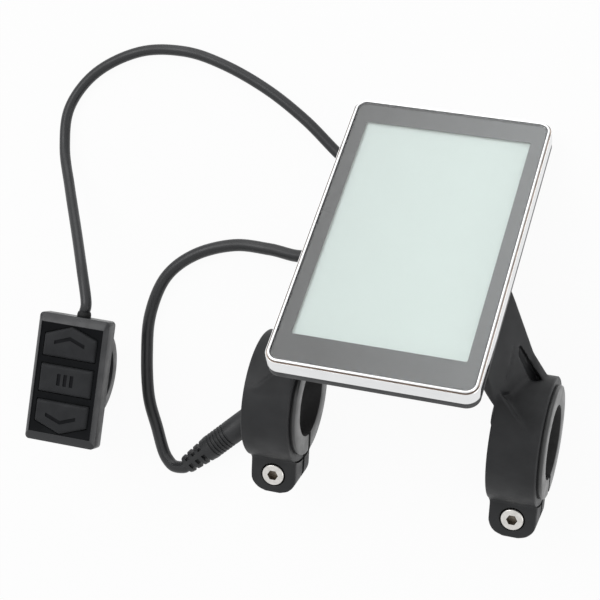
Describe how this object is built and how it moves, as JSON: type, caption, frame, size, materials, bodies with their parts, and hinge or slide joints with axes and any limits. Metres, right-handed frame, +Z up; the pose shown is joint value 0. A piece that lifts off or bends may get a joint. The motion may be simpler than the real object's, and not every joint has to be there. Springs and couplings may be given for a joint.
{
  "type": "e-bike display",
  "caption": "Handlebar display for an electric bicycle: flat framed screen on split bar clamps, with a corded keypad of sprung buttons and a lead ending in a round plug.",
  "frame": {"origin": "middle between the two screen clamps, on the axis of the handlebar that they grip", "axes": "+X along the handlebar towards the right clamp; +Z up from the surface on which the object lies as pictured; +Y from the clamps' screw lugs towards the screen's far edge"},
  "size_m": [0.1746, 0.1348, 0.0717],
  "materials": {
    "glass": "clear hard glass, glossy",
    "mask": "printed dark grey border behind the glass",
    "screen": "pale green-grey reflective screen",
    "diffuser": "milky light guide",
    "bright_frame": "bright plated frame",
    "seal": "soft black ring",
    "board": "green circuit board",
    "chip": "moulded black",
    "socket": "cream moulded socket",
    "cover": "fine textured dark grey",
    "gland": "black rubber sleeve",
    "arm": "satin black moulding",
    "reducer": "satin black moulding",
    "steel": "bright steel",
    "dark_steel": "blackened steel",
    "pad_shell": "satin black shell",
    "button": "dark grey silicone",
    "lead": "satin black sheath",
    "plug": "black overmoulding",
    "insert": "dark grey contact carrier",
    "contact": "plated contact pin"
  },
  "bodies": {
    "display": {"front_glass": "glass", "print_mask": "mask", "lcd_panel": "screen", "light_guide": "diffuser", "chrome_frame": "bright_frame", "cover_seal": "seal", "main_board": "board", "driver_chip": "chip", "keypad_socket": "socket", "main_socket": "socket", "rear_cover": "cover", "cover_screw_1": "steel", "cover_screw_2": "steel", "cover_screw_3": "steel", "cover_screw_4": "steel", "keypad_gland": "gland", "main_gland": "gland", "left_arm": "arm", "right_arm": "arm", "seat_screw_1": "dark_steel", "seat_screw_2": "dark_steel", "seat_screw_3": "dark_steel", "seat_screw_4": "dark_steel", "left_reducer": "reducer", "right_reducer": "reducer", "left_clamp_screw": "steel", "right_clamp_screw": "steel", "left_clamp_nut": "steel", "right_clamp_nut": "steel", "pad_case": "pad_shell", "pad_back": "arm", "pad_board": "board", "dome_up": "steel", "dome_mode": "steel", "dome_down": "steel", "pad_case_screw_1": "steel", "pad_case_screw_2": "steel", "pad_clamp_screw": "steel", "pad_clamp_nut": "steel", "pad_gland": "gland", "keypad_lead": "lead", "main_lead": "lead", "plug_body": "plug", "plug_insert": "insert", "plug_pin_1": "contact", "plug_pin_2": "contact", "plug_pin_3": "contact", "plug_pin_4": "contact", "plug_pin_5": "contact"},
    "button_up": {"button_up": "button"},
    "button_mode": {"button_mode": "button"},
    "button_down": {"button_down": "button"}
  },
  "joints": [
    {"name": "up_press", "type": "slide", "parent": "display", "child": "button_up", "axis": [0, 0, -1], "range_m": [0, 0.0007], "stiffness_N_per_m": 3000},
    {"name": "mode_press", "type": "slide", "parent": "display", "child": "button_mode", "axis": [0, 0, -1], "range_m": [0, 0.0007], "stiffness_N_per_m": 3000},
    {"name": "down_press", "type": "slide", "parent": "display", "child": "button_down", "axis": [0, 0, -1], "range_m": [0, 0.0007], "stiffness_N_per_m": 3000}
  ]
}
